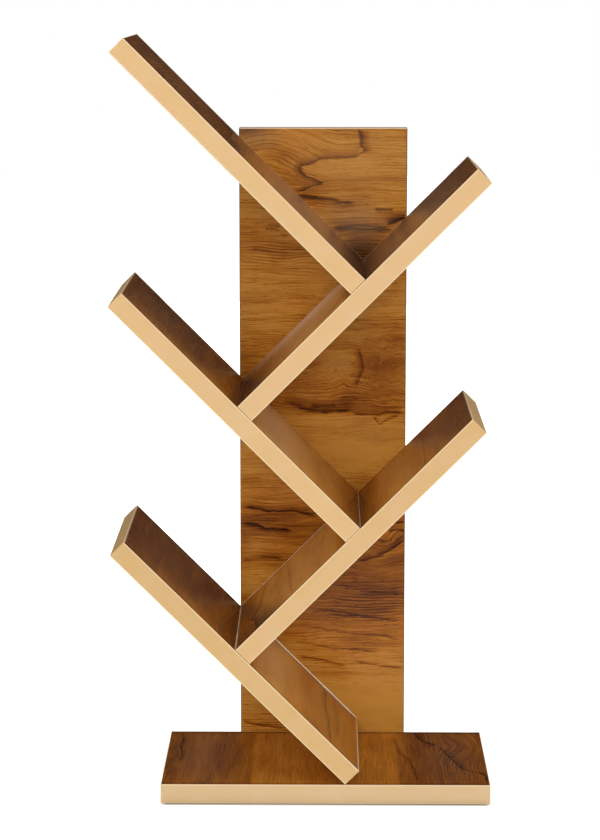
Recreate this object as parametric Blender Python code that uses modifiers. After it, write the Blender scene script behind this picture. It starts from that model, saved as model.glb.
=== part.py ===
"""A table-top book rack: five slanted shelves in a zig-zag tree, on a base board and a back panel.

Metres, +Z up, the front faces -Y. The origin is the middle of the base board's underside.
Shelves are counted from the top. Shelves 1, 3 and 5 lean to the left, shelves 2 and 4 to the right.
"""

from math import cos, pi, radians, sin

import bmesh
import bpy
from mathutils import Vector

MM = 0.001

# Boards
BOARD_THICKNESS = 15 * MM
SHELF_LENGTH = 250 * MM
BASE_LENGTH = 250 * MM
BOARD_DEPTH = 135 * MM  # of the shelves and the base board, whose fronts are flush
PANEL_WIDTH = 132 * MM
PANEL_OFFSET = 2.5 * MM  # the panel's centre line lies this far left of the base board's
PANEL_RISE = 114 * MM  # the panel's top above the lower corner of the top shelf's foot

# The zig-zag
LEAN = radians(45)  # of the shelves that lean to the left, from the level
FOOT_X = 15 * MM  # the bottom shelf's corner stands on the base this far right of its centre line
# How far up the shelf below each shelf's foot stands, as shares of that shelf's length
SEAT_SHARES = {4: 0.5, 3: 0.5, 2: 0.488, 1: 0.506}
LOWEST_SHELF = 5

# Edge bands
BAND_THICKNESS = 0.5 * MM
ARRIS_SHARE = 0.6  # an arris's radius, as a share of the band's thickness
ARRIS_SEGMENTS = 2
GLUE_LINE = 0.05 * MM

# Countersunk wood screws, driven through the panel from behind
SCREW_LENGTH = 40 * MM
SCREW_DIAMETER = 4 * MM
SCREW_HEAD_DIAMETER = 8 * MM
SCREW_HEAD_RIM = 0.4 * MM
SCREW_TIP_LENGTH = 5 * MM
SCREW_TIP_DIAMETER = 0.8 * MM
SCREW_SINK = 0.3 * MM  # the heads lie this far under the panel's back face
SCREW_INSET = 28 * MM  # along a shelf, from its foot or the panel's edge to its screws
BASE_SCREW_INSET = 16 * MM  # from the panel's sides to the outer base screws
BASE_SCREW_COUNT = 3
SCREW_SIDES = 16
# The cross recess in a screw's head
RECESS_SPAN = 4.2 * MM
RECESS_SLOT = 1 * MM
RECESS_DEPTH = 1.7 * MM
RECESS_FLOOR_SHARE = 0.5  # the slot's length at its floor, as a share of its length at the top

# Dowels in the T-joints
DOWEL_DIAMETER = 8 * MM
DOWEL_LENGTH = 30 * MM
DOWEL_IN_FACE = 10 * MM  # the stretch of a dowel that goes into the face of the shelf below
DOWEL_CHAMFER = 0.8 * MM
DOWEL_INSET = 40 * MM  # from a shelf's front and rear edges to its dowels
DOWEL_SIDES = 24

# Clearances
BUTT_GAP = 0.3 * MM  # between boards that meet
HOLE_CLEARANCE = 0.1 * MM  # all round a screw or a dowel
HOLE_SPARE_DEPTH = 0.5 * MM  # past the end of a screw or a dowel
CUT_OVERRUN = 1 * MM  # how far a cutter stands out of the face that it enters
MERGE_DISTANCE = 0.01 * MM

# Derived places
FRONT_Y = -BOARD_DEPTH / 2
REAR_Y = BOARD_DEPTH / 2
PANEL_FRONT_Y = REAR_Y + BUTT_GAP
PANEL_BACK_Y = PANEL_FRONT_Y + BOARD_THICKNESS
PANEL_LEFT = -PANEL_OFFSET - PANEL_WIDTH / 2
PANEL_RIGHT = -PANEL_OFFSET + PANEL_WIDTH / 2
BAND_ARRIS = BAND_THICKNESS * ARRIS_SHARE
CORE_INSET = BAND_THICKNESS + GLUE_LINE

PARTS = bpy.data.collections.new("book_rack")
CUTTERS = bpy.data.collections.new("cutters")


def make_material(name, colour, roughness, metallic=0.0):
    """A Principled BSDF material of one colour."""
    material = bpy.data.materials.new(name)
    material.use_nodes = True
    shader = material.node_tree.nodes["Principled BSDF"]
    shader.inputs["Base Color"].default_value = (*colour, 1.0)
    shader.inputs["Roughness"].default_value = roughness
    shader.inputs["Metallic"].default_value = metallic
    return material


LAMINATE = make_material("wood_grain_laminate", (0.19, 0.085, 0.028), 0.35)
EDGING = make_material("tan_edge_band", (0.76, 0.52, 0.25), 0.5)
STEEL = make_material("zinc_plated_steel", (0.72, 0.7, 0.66), 0.3, 1.0)
BEECH = make_material("beech", (0.62, 0.4, 0.2), 0.6)


def clear_scene():
    """Empties the scene and links the rack's two collections."""
    for thing in list(bpy.data.objects):
        bpy.data.objects.remove(thing, do_unlink=True)
    for collection in (PARTS, CUTTERS):
        bpy.context.scene.collection.children.link(collection)


def add_part(name, mesh, material, parent=None):
    """Puts a mesh in the rack's collection as a part of its own."""
    if not mesh.materials:
        mesh.materials.append(material)
    part = bpy.data.objects.new(name, mesh)
    PARTS.objects.link(part)
    part.parent = parent
    return part


def add_cutter(name, mesh, parent=None):
    """Puts a mesh among the cutters, which are drawn as wires and never rendered."""
    cutter = bpy.data.objects.new(name, mesh)
    CUTTERS.objects.link(cutter)
    cutter.parent = parent
    cutter.hide_render = True
    cutter.display_type = "WIRE"
    return cutter


def cut(parts, cutter):
    """Takes the cutter's shape out of each part."""
    for part in parts:
        modifier = part.modifiers.new(cutter.name, "BOOLEAN")
        modifier.operation = "DIFFERENCE"
        modifier.solver = "EXACT"
        modifier.object = cutter


def block(low, high):
    """A box between two corners, as an editable mesh."""
    shape = bmesh.new()
    bmesh.ops.create_cube(shape, size=1.0)
    bmesh.ops.scale(shape, vec=high - low, verts=shape.verts)
    bmesh.ops.translate(shape, vec=(low + high) / 2, verts=shape.verts)
    return shape


def finished(name, shape):
    """Turns an editable mesh into one that an object can hold."""
    mesh = bpy.data.meshes.new(name)
    shape.to_mesh(mesh)
    shape.free()
    return mesh


def add_band(name, low, high, outward, wraps, parent=None):
    """An edge band between two corners, its arrises rounded on the side that faces outward.

    A band that wraps the board's corners has those rounded as well. Any other band ends between two
    that wrap, so only its two long arrises are rounded.
    """
    shape = block(low, high)
    size = high - low
    longest = max(range(len(size)), key=lambda axis: size[axis])
    middle = (low + high) / 2
    rounded = []
    for edge in shape.edges:
        first, second = (vertex.co - middle for vertex in edge.verts)
        outer_ends = [end.dot(outward) > 0 for end in (first, second)]
        is_long = first[longest] * second[longest] < 0
        if (wraps and any(outer_ends)) or (is_long and all(outer_ends)):
            rounded.append(edge)
    bmesh.ops.bevel(
        shape,
        geom=rounded,
        offset=BAND_ARRIS,
        offset_type="OFFSET",
        segments=ARRIS_SEGMENTS,
        profile=0.5,
        affect="EDGES",
    )
    return add_part(name, finished(name, shape), EDGING, parent)


def add_banded_board(name, low, high, left_end, right_end, parent=None):
    """A level board and the bands on its four edges, all between two corners.

    The front and rear bands run the whole length, and the two end bands fit between them.
    Returns the board and its four bands in a dictionary.
    """
    inner_low = low + Vector((CORE_INSET, CORE_INSET, 0))
    inner_high = high - Vector((CORE_INSET, CORE_INSET, 0))
    front_high = Vector((high.x, low.y + BAND_THICKNESS, high.z))
    rear_low = Vector((low.x, high.y - BAND_THICKNESS, low.z))
    left_low = Vector((low.x, inner_low.y, low.z))
    left_high = Vector((low.x + BAND_THICKNESS, inner_high.y, high.z))
    right_low = Vector((high.x - BAND_THICKNESS, inner_low.y, low.z))
    right_high = Vector((high.x, inner_high.y, high.z))
    to_left, to_right = Vector((-1, 0, 0)), Vector((1, 0, 0))
    to_front, to_rear = Vector((0, -1, 0)), Vector((0, 1, 0))
    return {
        "board": add_part(name, finished(name, block(inner_low, inner_high)), LAMINATE, parent),
        "front": add_band(f"{name}_front_band", low, front_high, to_front, True, parent),
        "rear": add_band(f"{name}_rear_band", rear_low, high, to_rear, True, parent),
        left_end: add_band(f"{name}_{left_end}_band", left_low, left_high, to_left, False, parent),
        right_end: add_band(f"{name}_{right_end}_band", right_low, right_high, to_right, False, parent),
    }


def turn(part, sides):
    """Turns a profile at +X about the object's Z axis."""
    modifier = part.modifiers.new("turn", "SCREW")
    modifier.axis = "Z"
    modifier.angle = 2 * pi
    modifier.steps = sides
    modifier.render_steps = sides
    modifier.use_merge_vertices = True
    modifier.merge_threshold = MERGE_DISTANCE
    return part


def profile_mesh(name, points):
    """A line of (radius, height) points, from the top of a turned shape to its bottom."""
    mesh = bpy.data.meshes.new(name)
    vertices = [(radius, 0, height) for radius, height in points]
    edges = [(index, index + 1) for index in range(len(points) - 1)]
    mesh.from_pydata(vertices, edges, [])
    return mesh


def baked_mesh(part, name):
    """The object's mesh with its modifiers applied. The object itself is removed."""
    evaluated = part.evaluated_get(bpy.context.evaluated_depsgraph_get())
    mesh = bpy.data.meshes.new_from_object(evaluated)
    mesh.name = name
    bpy.data.objects.remove(part, do_unlink=True)
    return mesh


def recess_slot(name, turned_by):
    """One arm of the cross recess: a slot whose ends run in towards its floor."""
    low = Vector((-RECESS_SPAN / 2, -RECESS_SLOT / 2, -RECESS_DEPTH))
    high = Vector((RECESS_SPAN / 2, RECESS_SLOT / 2, CUT_OVERRUN))
    shape = block(low, high)
    for vertex in shape.verts:
        if vertex.co.z < 0:
            vertex.co.x *= RECESS_FLOOR_SHARE
    slot = add_cutter(name, finished(name, shape))
    slot.rotation_euler.z = turned_by
    return slot


def make_screw_mesh():
    """A countersunk wood screw that points down from its head's top, with a cross recess."""
    head, shank, tip = SCREW_HEAD_DIAMETER / 2, SCREW_DIAMETER / 2, SCREW_TIP_DIAMETER / 2
    points = [
        (0, 0),
        (head, 0),
        (head, -SCREW_HEAD_RIM),
        (shank, -SCREW_HEAD_RIM - (head - shank)),
        (shank, -SCREW_LENGTH + SCREW_TIP_LENGTH),
        (tip, -SCREW_LENGTH),
        (0, -SCREW_LENGTH),
    ]
    master = add_part("screw_master", profile_mesh("screw_profile", points), STEEL)
    turn(master, SCREW_SIDES)
    for name, turned_by in (("recess_slot_a", 0), ("recess_slot_b", pi / 2)):
        cut([master], recess_slot(name, turned_by))
    return baked_mesh(master, "wood_screw")


def screw_hole_mesh():
    """The stepped hole for a screw, from behind the panel's back face down to past the screw's tip."""
    head = SCREW_HEAD_DIAMETER / 2 + HOLE_CLEARANCE
    shank = SCREW_DIAMETER / 2 + HOLE_CLEARANCE
    cone_top = -SCREW_SINK - SCREW_HEAD_RIM - HOLE_CLEARANCE
    bottom = -SCREW_SINK - SCREW_LENGTH - HOLE_SPARE_DEPTH
    points = [
        (0, CUT_OVERRUN),
        (head, CUT_OVERRUN),
        (head, cone_top),
        (shank, cone_top - (head - shank)),
        (shank, bottom),
        (0, bottom - shank),
    ]
    return profile_mesh("screw_hole", points)


def make_dowel_mesh():
    """A dowel with chamfered ends, from its upper end down."""
    radius = DOWEL_DIAMETER / 2
    points = [
        (0, 0),
        (radius - DOWEL_CHAMFER, 0),
        (radius, -DOWEL_CHAMFER),
        (radius, -DOWEL_LENGTH + DOWEL_CHAMFER),
        (radius - DOWEL_CHAMFER, -DOWEL_LENGTH),
        (0, -DOWEL_LENGTH),
    ]
    master = turn(add_part("dowel_master", profile_mesh("dowel_profile", points), BEECH), DOWEL_SIDES)
    return baked_mesh(master, "dowel")


def dowel_hole_mesh():
    """The blind holes for a dowel, as one cutter from its upper end down."""
    radius = DOWEL_DIAMETER / 2 + HOLE_CLEARANCE
    bottom = -DOWEL_LENGTH - HOLE_SPARE_DEPTH
    points = [(0, HOLE_SPARE_DEPTH), (radius, HOLE_SPARE_DEPTH), (radius, bottom), (0, bottom)]
    return profile_mesh("dowel_hole", points)


class Shelf:
    """Where one shelf lies in the rack, seen from the front, in X and Z.

    The side is -1 for a shelf that leans to the left and 1 for one that leans to the right. The
    corner is the lower corner of its foot, up is the way from there to its free end, and face is the
    way its upper face looks. Its frame has X to the right, along the shelf, and Z along face.
    """

    def __init__(self, number, side, corner):
        self.name = f"shelf_{number}"
        self.side = side
        self.corner = corner
        left_up, right_up = Vector((-cos(LEAN), sin(LEAN))), Vector((sin(LEAN), cos(LEAN)))
        self.up, self.face = (left_up, right_up) if side < 0 else (right_up, left_up)
        self.turned_by = LEAN if side < 0 else LEAN - pi / 2

    def point(self, along, above):
        """A point so far along the shelf from its foot, and so far above its lower face."""
        return self.corner + self.up * along + self.face * above

    def panel_stretch(self, panel_top):
        """The stretch of the shelf's middle line that lies in front of the panel, from its foot."""
        middle = self.point(0, BOARD_THICKNESS / 2)
        near, far = (PANEL_RIGHT, PANEL_LEFT) if self.side < 0 else (PANEL_LEFT, PANEL_RIGHT)
        to_top = (panel_top - middle.y) / self.up.y
        return max(0, (near - middle.x) / self.up.x), min((far - middle.x) / self.up.x, to_top, SHELF_LENGTH)


def place_shelves():
    """Works out the shelves from the bottom up, as each stands square on the one below."""
    # The rounded arris, not the corner that it takes off, touches the base board
    arris_loss = BAND_ARRIS * (sin(LEAN) + cos(LEAN) - 1)
    corner = Vector((FOOT_X, BOARD_THICKNESS + BUTT_GAP - arris_loss))
    shelves = {LOWEST_SHELF: Shelf(LOWEST_SHELF, -1, corner)}
    for number in sorted(SEAT_SHARES, reverse=True):
        below = shelves[number + 1]
        seat_middle = SEAT_SHARES[number] * SHELF_LENGTH
        corner = below.point(seat_middle - BOARD_THICKNESS / 2, BOARD_THICKNESS + BUTT_GAP)
        shelves[number] = Shelf(number, -below.side, corner)
    return shelves


def add_shelf(shelf):
    """A shelf board and its bands, hung on an empty at the lower corner of the foot."""
    frame = bpy.data.objects.new(f"{shelf.name}_frame", None)
    PARTS.objects.link(frame)
    frame.location = (shelf.corner.x, 0, shelf.corner.y)
    frame.rotation_euler.y = shelf.turned_by
    ends = sorted((0, shelf.side * SHELF_LENGTH))
    low = Vector((ends[0], FRONT_Y, 0))
    high = Vector((ends[1], REAR_Y, BOARD_THICKNESS))
    names = ("end", "foot") if shelf.side < 0 else ("foot", "end")
    return frame, add_banded_board(shelf.name, low, high, *names, parent=frame)


def add_base():
    """The base board and its bands."""
    low = Vector((-BASE_LENGTH / 2, FRONT_Y, 0))
    high = Vector((BASE_LENGTH / 2, REAR_Y, BOARD_THICKNESS))
    return add_banded_board("base", low, high, "left", "right")


def add_panel(panel_top):
    """The back panel, with bands on its sides and between them along its top."""
    low = Vector((PANEL_LEFT, PANEL_FRONT_Y, 0))
    high = Vector((PANEL_RIGHT, PANEL_BACK_Y, panel_top))
    inner_low = low + Vector((CORE_INSET, 0, 0))
    inner_high = high - Vector((CORE_INSET, 0, CORE_INSET))
    left_high = Vector((low.x + BAND_THICKNESS, high.y, high.z))
    right_low = Vector((high.x - BAND_THICKNESS, low.y, low.z))
    top_low = Vector((inner_low.x, low.y, high.z - BAND_THICKNESS))
    top_high = Vector((inner_high.x, high.y, high.z))
    add_band("panel_left_band", low, left_high, Vector((-1, 0, 0)), True)
    add_band("panel_right_band", right_low, high, Vector((1, 0, 0)), True)
    add_band("panel_top_band", top_low, top_high, Vector((0, 0, 1)), False)
    return add_part("back_panel", finished("back_panel", block(inner_low, inner_high)), LAMINATE)


def add_screw(name, x, z, panel, pieces, screw_mesh, hole_mesh):
    """A screw through the panel at (x, z) into a board's rear band and the board."""
    screw = add_part(name, screw_mesh, STEEL)
    screw.location = (x, PANEL_BACK_Y - SCREW_SINK, z)
    hole = turn(add_cutter(f"{name}_hole", hole_mesh), SCREW_SIDES)
    hole.location = (x, PANEL_BACK_Y, z)
    for piece in (screw, hole):
        piece.rotation_euler.x = -pi / 2
    cut([panel, pieces["rear"], pieces["board"]], hole)


def add_shelf_screws(shelf, pieces, panel, panel_top, screw_mesh, hole_mesh):
    """Two screws into the shelf's rear edge, near the ends of the stretch that the panel backs."""
    start, end = shelf.panel_stretch(panel_top)
    for number, along in enumerate((start + SCREW_INSET, end - SCREW_INSET), 1):
        place = shelf.point(along, BOARD_THICKNESS / 2)
        name = f"{shelf.name}_screw_{number}"
        add_screw(name, place.x, place.y, panel, pieces, screw_mesh, hole_mesh)


def add_base_screws(pieces, panel, screw_mesh, hole_mesh):
    """A row of screws into the base board's rear edge."""
    first = PANEL_LEFT + BASE_SCREW_INSET
    step = (PANEL_WIDTH - 2 * BASE_SCREW_INSET) / (BASE_SCREW_COUNT - 1)
    for number in range(BASE_SCREW_COUNT):
        name = f"base_screw_{number + 1}"
        add_screw(name, first + number * step, BOARD_THICKNESS / 2, panel, pieces, screw_mesh, hole_mesh)


def add_dowels(shelf, frame, pieces, board_below, dowel_mesh, hole_mesh):
    """Two dowels from the shelf's foot into the face of the shelf that it stands on."""
    upper_end = DOWEL_LENGTH - DOWEL_IN_FACE - BUTT_GAP
    places = {"front": FRONT_Y + DOWEL_INSET, "rear": REAR_Y - DOWEL_INSET}
    for where, y in places.items():
        name = f"{shelf.name}_{where}_dowel"
        dowel = add_part(name, dowel_mesh, BEECH, frame)
        hole = turn(add_cutter(f"{name}_hole", hole_mesh, frame), DOWEL_SIDES)
        for piece in (dowel, hole):
            piece.location = (shelf.side * upper_end, y, BOARD_THICKNESS / 2)
            piece.rotation_euler.y = shelf.side * pi / 2
        cut([pieces["board"], pieces["foot"], board_below], hole)


def shade(parts):
    """Shades the turned pieces smooth, with their creases kept sharp."""
    crease = radians(30)
    for mesh in {part.data for part in parts if part.type == "MESH"}:
        mesh.shade_smooth()
        mesh.set_sharp_from_angle(angle=crease)


def main():
    clear_scene()
    shelves = place_shelves()
    panel_top = shelves[min(shelves)].corner.y + PANEL_RISE
    panel = add_panel(panel_top)
    base = add_base()
    screw_mesh, screw_hole = make_screw_mesh(), screw_hole_mesh()
    dowel_mesh, dowel_hole = make_dowel_mesh(), dowel_hole_mesh()
    add_base_screws(base, panel, screw_mesh, screw_hole)
    board_below = None
    for number in sorted(shelves, reverse=True):
        shelf = shelves[number]
        frame, pieces = add_shelf(shelf)
        add_shelf_screws(shelf, pieces, panel, panel_top, screw_mesh, screw_hole)
        if board_below:
            add_dowels(shelf, frame, pieces, board_below, dowel_mesh, dowel_hole)
        board_below = pieces["board"]
    shade(PARTS.objects)


main()
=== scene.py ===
# %% [markdown]
# # Dressing a tabletop book rack
#
# The rack is already built: boards, edge bands, screws and dowels, each in its place, come in as a
# fixed frame. This lesson gives each of them the finish of the real thing, then sets up the table,
# the light and the camera. Numbers are millimetres, as on a drawing, and MM turns them into metres.

# %% Load the frame
import math

import bpy
import numpy as np
from mathutils import Matrix, Vector


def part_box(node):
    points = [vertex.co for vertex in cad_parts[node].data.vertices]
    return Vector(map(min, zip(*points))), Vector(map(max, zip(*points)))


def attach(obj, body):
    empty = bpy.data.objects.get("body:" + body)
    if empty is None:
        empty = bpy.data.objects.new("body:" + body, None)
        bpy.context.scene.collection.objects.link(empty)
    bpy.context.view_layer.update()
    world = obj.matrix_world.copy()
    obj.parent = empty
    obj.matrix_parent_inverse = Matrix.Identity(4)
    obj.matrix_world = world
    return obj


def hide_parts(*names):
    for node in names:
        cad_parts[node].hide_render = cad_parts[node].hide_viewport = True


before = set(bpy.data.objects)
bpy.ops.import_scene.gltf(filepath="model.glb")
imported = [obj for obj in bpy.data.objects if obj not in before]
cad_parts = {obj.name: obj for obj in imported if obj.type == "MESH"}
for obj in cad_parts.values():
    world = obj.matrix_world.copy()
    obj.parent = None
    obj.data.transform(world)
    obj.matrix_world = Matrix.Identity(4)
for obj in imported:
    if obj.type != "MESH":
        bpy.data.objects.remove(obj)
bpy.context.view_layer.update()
MM = 0.001

# %% [markdown]
# ## The camera
#
# The picture is taken from a little above the rack's top, with a long lens that looks down by eight
# degrees. The lens is also shifted down a little, which brings the base into the frame and keeps
# upright edges nearly upright.

# %% Camera
CAMERA_PLACE = (-0.6, -1893.5, 620.3)
CAMERA_DIP, CAMERA_TURN = 8.248, 0.586  # degrees under the level, and to the left
SENSOR = 36.0
LENS = 107.11
SHIFT_DOWN = 0.0952  # as a share of the frame's long side
FRAME_HEIGHT = 840  # pixels

camera = bpy.data.objects.new("camera", bpy.data.cameras.new("camera"))
camera.location = Vector(CAMERA_PLACE) * MM
camera.rotation_euler = (math.radians(90 - CAMERA_DIP), 0, math.radians(CAMERA_TURN))
camera.data.sensor_width = SENSOR
camera.data.lens = LENS
camera.data.shift_y = -SHIFT_DOWN
bpy.context.scene.collection.objects.link(camera)
bpy.context.scene.camera = camera
bpy.context.scene.view_settings.view_transform = "Standard"
print(f"1 mm on the rack's front is {LENS / SENSOR * FRAME_HEIGHT / -CAMERA_PLACE[1]:.2f} pixels")

# %% [markdown]
# ## Two helpers for materials
#
# Colours are written as a paint shop would, in sRGB hex. The shader wants linear light, so one
# function turns them. A second one adds a node, sets it and wires it up, which keeps each material
# short enough to read from top to bottom.

# %% Helpers for materials


def linear(colour):
    """An sRGB hex colour as linear red, green, blue and alpha: each channel's curve is undone."""
    channels = np.array([int(colour[i : i + 2], 16) for i in (0, 2, 4)]) / 255
    channels = np.where(channels <= 0.04045, channels / 12.92, ((channels + 0.055) / 1.055) ** 2.4)
    return (*channels.tolist(), 1.0)


def add(tree, kind, inputs=(), stops=(), curve=(), **settings):
    """Adds one node. Inputs are values, sockets or nodes, in order or by name.

    Stops are a colour ramp's places, each with a colour or a level of grey, and curve is a float
    curve's points.
    """
    node = tree.nodes.new("ShaderNode" + kind)
    for name, value in settings.items():
        setattr(node, name, value)
    for key, value in inputs.items() if isinstance(inputs, dict) else enumerate(inputs):
        if isinstance(value, bpy.types.Node):
            value = next(socket for socket in value.outputs if socket.enabled)
        if isinstance(value, bpy.types.NodeSocket):
            tree.links.new(value, node.inputs[key])
        elif value is not None:
            node.inputs[key].default_value = value
    for number, (place, colour) in enumerate(stops):
        elements = node.color_ramp.elements
        stop = elements[number] if number < len(elements) else elements.new(place)
        stop.position = place
        stop.color = linear(colour) if isinstance(colour, str) else (colour, colour, colour, 1.0)
    for number, point in enumerate(curve):
        points = node.mapping.curves[0].points
        if number < len(points):
            points[number].location = point
        else:
            points.new(*point)
    if curve:
        node.mapping.update()
    return node


def new_material(name):
    """A material with an empty node tree and its output."""
    material = bpy.data.materials.new(name)
    material.use_nodes = True
    tree = material.node_tree
    tree.nodes.clear()
    return material, tree


print("linear mid grey:", [round(value, 3) for value in linear("808080")])

# %% [markdown]
# ## Wood-grain laminate
#
# The boards are chipboard with a printed and pressed laminate sheet on both faces. The print shows
# teak: golden brown, with fine dark fibres, growth bands, and a few dark veins that wander across the
# sheet. The print could be one big noise texture, but then no vein would lie where the real one does.
# So each board keeps its own millimetre space, along the grain and across it, in which patches, swells
# and veins are placed one by one, and noise only frays their edges and fills in the fibres.

# %% The board's own space
BOARD_THICKNESS = 15.0
BOARD_DEPTH = 135.0
SHEET_THICKNESS = 0.3
OTHER_SIDE = 900.0  # how far the print on a board's other face lies from the shown one


class Board:
    """One board's sheet of laminate: where it starts, and which ways its grain and its width run.

    The corner lies on the face that isn't shown, so that face is at height 0 and the shown one at
    the board's thickness. The seed picks the board's piece of noise.
    """

    def __init__(self, name, corner, grain, across, seed, length):
        self.name, self.corner, self.seed, self.length = name, Vector(corner), seed, length
        grain, across = Vector(grain), Vector(across)
        self.turn = Matrix((grain, across, grain.cross(across))).transposed().to_euler()


def board_space(tree, board):
    """The board's own millimetres: a vector of (along the grain, across it, seed), the height, and
    how far the nearest end is.
    """
    world = add(tree, "TexCoord").outputs["Object"]
    mapped = {"Vector": world, "Location": board.corner, "Rotation": board.turn, "Scale": (MM, MM, MM)}
    local = add(tree, "SeparateXYZ", (add(tree, "Mapping", mapped, vector_type="TEXTURE"),))
    height = add(tree, "Math", (local.outputs["Z"],), operation="ABSOLUTE")
    hidden = add(tree, "Math", (height, BOARD_THICKNESS / 2), operation="LESS_THAN")
    across = add(tree, "Math", (hidden, OTHER_SIDE, local.outputs["Y"]), operation="MULTIPLY_ADD")
    space = add(tree, "CombineXYZ", (local.outputs["X"], across, board.seed))
    to_end = add(tree, "Math", (local.outputs["Y"], board.length / 2), operation="PINGPONG")
    return space, height, to_end


def streaks(tree, space, length, width, detail=2.0):
    """Noise from 0 to 1 whose blobs are so many millimetres long, along the grain, and so wide."""
    scaled = add(tree, "VectorMath", (space, (1 / length, 1 / width, 1.0)), operation="MULTIPLY")
    return add(tree, "TexNoise", {"Vector": scaled, "Scale": 1.0, "Detail": detail})


def nudge(tree, value, noise, amount):
    """The value, moved by up to half the amount either way, as the noise goes from 0 to 1."""
    shift = add(tree, "Math", (noise, amount, -amount / 2), operation="MULTIPLY_ADD")
    return add(tree, "Math", (value, shift), operation="ADD")


def sway(tree, value, space, size, amount):
    """The value, nudged by a noise whose blobs have this size, (length, width) in millimetres."""
    return nudge(tree, value, streaks(tree, space, *size), amount)


def falloff(tree, space, centre, radii):
    """1 at a centre, easing down to 0 at the edge of an ellipse with these radii."""
    offset = add(tree, "VectorMath", (space, (*centre, 0)), operation="SUBTRACT")
    ways = (1 / radii[0], 1 / radii[1], 0)
    share = add(tree, "VectorMath", (offset, ways), operation="MULTIPLY")
    away = add(tree, "VectorMath", (share,), operation="LENGTH").outputs["Value"]
    limits = {"Value": away, "From Min": 1.0, "From Max": 0.0, "To Min": 0.0, "To Max": 1.0}
    return add(tree, "MapRange", limits, interpolation_type="SMOOTHSTEP")


print(f"boards of {BOARD_DEPTH:.0f} x {BOARD_THICKNESS:.0f} mm, printed on both faces")

# %% A vein
HALO_DEPTH = 0.42  # how dark the soft side of a vein is, against the line itself
FADE = 0.12  # share of a vein's length over which it fades at each end


def vein(tree, along, across, points, width, halo):
    """A wandering dark line through the points, each (along, across) in millimetres.

    A float curve gives the line's place across for each place along. The distance from that line goes
    through a ramp: a sharp rise on one side, and on the other a halo that fades over its own width.
    The line fades in and out over a share of its length at each end.
    """
    starts, sides = np.min(points, axis=0), np.max(points, axis=0)
    spans = np.maximum(sides - starts, 1e-3)
    place = {"Value": along, "From Min": starts[0], "From Max": sides[0]}
    share = add(tree, "MapRange", place)
    shape = ((np.array(sorted(points)) - starts) / spans).tolist()
    line = add(tree, "FloatCurve", {"Value": share}, curve=shape)
    height = add(tree, "Math", (line, spans[1], starts[1]), operation="MULTIPLY_ADD")
    off = add(tree, "Math", (across, height), operation="SUBTRACT")
    reach = width + abs(halo)
    limits = {"Value": off, "From Min": -width, "From Max": reach}
    if halo < 0:
        limits |= {"From Min": width, "From Max": -reach}
    middle = width / (width + reach)
    profile = [(0.0, 0.0), (middle, 1.0), (2 * middle, HALO_DEPTH), (1.0, 0.0)]
    dark = add(tree, "ValToRGB", (add(tree, "MapRange", limits),), stops=profile)
    fade = [(0.0, 0.0), (FADE, 1.0), (1 - FADE, 1.0), (1.0, 0.0)]
    shown = add(tree, "ValToRGB", (share,), stops=fade)
    return add(tree, "Math", (dark, shown), operation="MULTIPLY")


print(f"a vein fades over {FADE:.0%} of its length at each end")

# %% [markdown]
# ## From the print to a material
#
# All the wood's detail goes into one number, its tone, and one colour ramp turns that into teak.
# Patches set the tone of whole areas. Growth lines, fibres and pores are noise stretched along the
# grain, which sways, swells over a knot and curls where the wood is figured. Veins take tone away.
# The finish is a semi-gloss resin. Seen square-on it hardly shines, but the shelves are seen nearly
# edge-on, and there they mirror what stands behind them.

# %% Growth lines
LINE_GAP = 2.4  # millimetres between two growth lines
LINE_LENGTH = 90  # millimetres along the grain over which their wander changes
LINE_WANDER = 5.0
LINE_START = 0.55  # share of each gap that stays clear
LINE_CLOUDS, CLOUD_SHARE = (60, 20), 0.5  # size and strength of the areas that a slow noise gives
WAVE_TURN = 2 * math.pi / 20  # how far the wave texture goes along its vector in one wave


def growth_lines(tree, space, grain, rings):
    """Thin dark lines at the growth rings' edges, in areas of (centre, radii) and of a slow noise.

    A saw wave across the grain rises once for each gap, and only the last part of its rise shows.
    """
    scale = (1 / LINE_LENGTH, WAVE_TURN / LINE_GAP, 1.0)
    scaled = add(tree, "VectorMath", (grain, scale), operation="MULTIPLY")
    wave = {"Vector": scaled, "Scale": 1.0, "Distortion": LINE_WANDER}
    wave |= {"Detail": 2.0, "Detail Scale": 1.0}
    saw = add(tree, "TexWave", wave, bands_direction="Y", wave_profile="SAW")
    line = add(tree, "MapRange", {"Value": saw.outputs["Fac"], "From Min": LINE_START})
    area = {"Value": streaks(tree, space, *LINE_CLOUDS), "From Min": 0.46, "From Max": 0.64}
    area["To Max"] = CLOUD_SHARE
    shown = add(tree, "MapRange", area)
    for centre, radii in rings:
        shown = add(tree, "Math", (shown, falloff(tree, space, centre, radii)), operation="MAXIMUM")
    return add(tree, "Math", (line, shown), operation="MULTIPLY")


print(f"growth lines every {LINE_GAP} mm")

# %% The print's tone
# A noise is written as the (length, width) of its blobs and the amount that it moves or darkens by
SWAY, FINE_SWAY = ((110, 45), 14), ((20, 8), 3.0)  # of the grain lines, across themselves
CURL = ((13, 16), 2.0)  # of figured wood
FRAY = ((14, 8), 14)  # of the patches' edges
VEIN_DRIFT, VEIN_SWAY = ((9, 6), 4), ((6, 3), 3)  # of the veins, along and across the grain
CLOUDS, BANDS = ((70, 12), 0.4), ((150, 3.0), 0.4)
FIBRES, FIBRE_DEPTH = (34, 0.8, 3.0), 0.95  # the third number is the noise's detail
PORES, PORE_DEPTH = (8, 0.6, 1.0), 0.24
LINE_DEPTH = 0.46


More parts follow.
